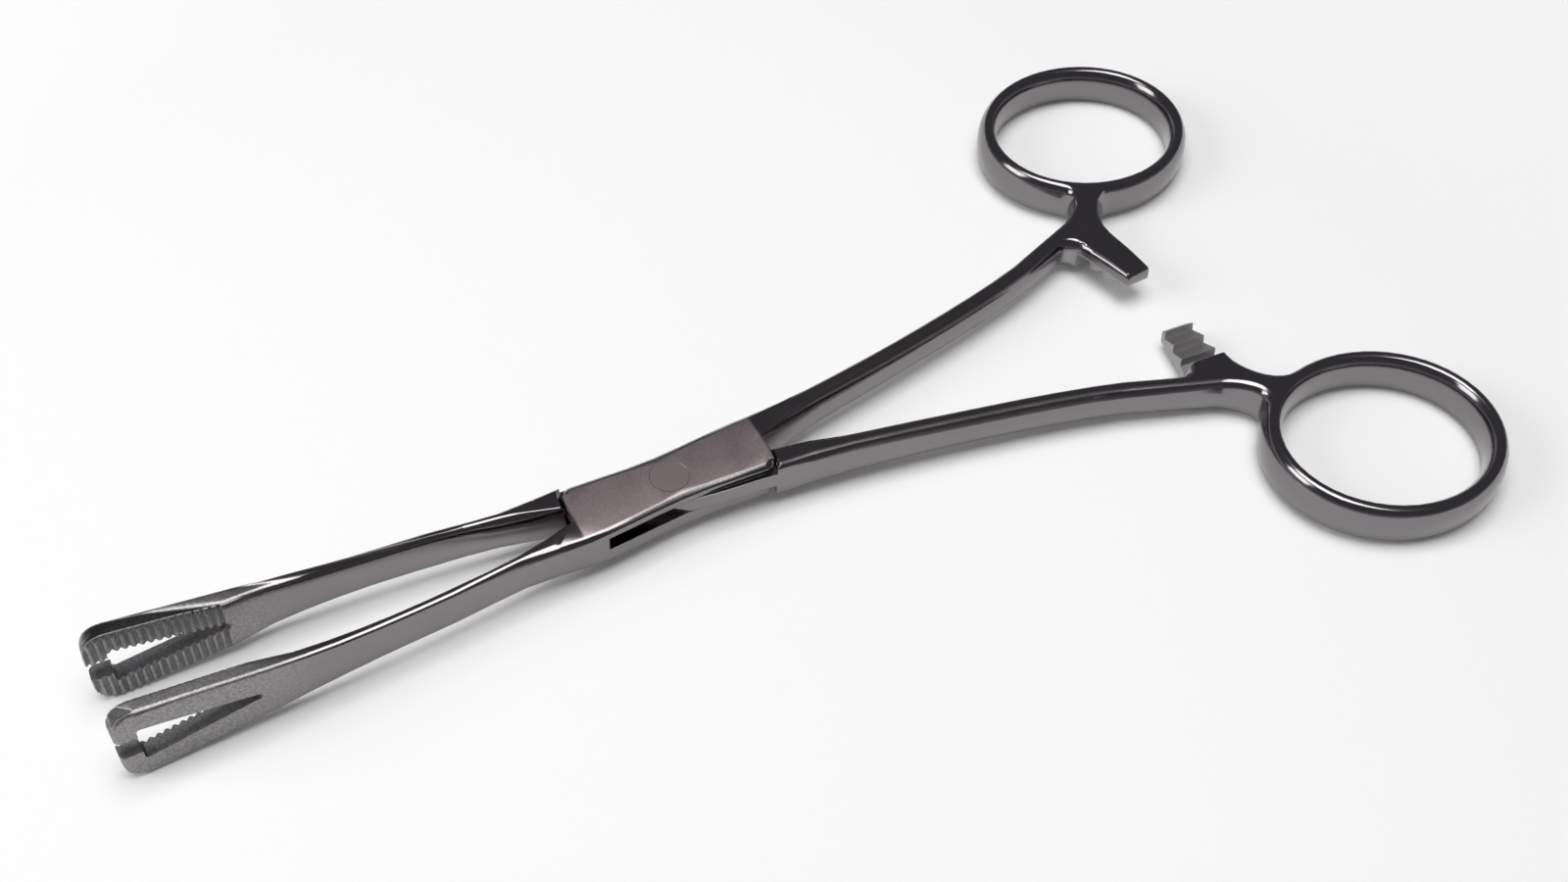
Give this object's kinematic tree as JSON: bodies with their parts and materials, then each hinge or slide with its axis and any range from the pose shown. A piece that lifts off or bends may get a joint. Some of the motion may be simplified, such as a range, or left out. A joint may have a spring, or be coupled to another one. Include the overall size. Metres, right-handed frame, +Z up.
{
  "type": "piercing clamp",
  "caption": "Ring-handled locking clamp with slotted triangular serrated jaws on long slim shafts, a box lock hinge and interlocking ratchet arms between the finger rings.",
  "frame": {"origin": "pivot axis at the underside of the box lock", "axes": "+X along the clamp towards the finger rings, +Y towards the ring of the half that carries the box, +Z up along the pivot"},
  "size_m": [0.1481, 0.0834, 0.0098],
  "materials": {
    "forged_steel": "satin",
    "pin_steel": "satin"
  },
  "bodies": {
    "box_half": {"box_half": "forged_steel", "pivot_pin": "pin_steel"},
    "tongue_half": {"tongue_half": "forged_steel"}
  },
  "joints": [
    {"name": "box_lock", "type": "hinge", "parent": "box_half", "child": "tongue_half", "pos_m": [0, 0, 0.00242], "axis": [0, 0, -1], "range_deg": [-7.25, 55]}
  ]
}
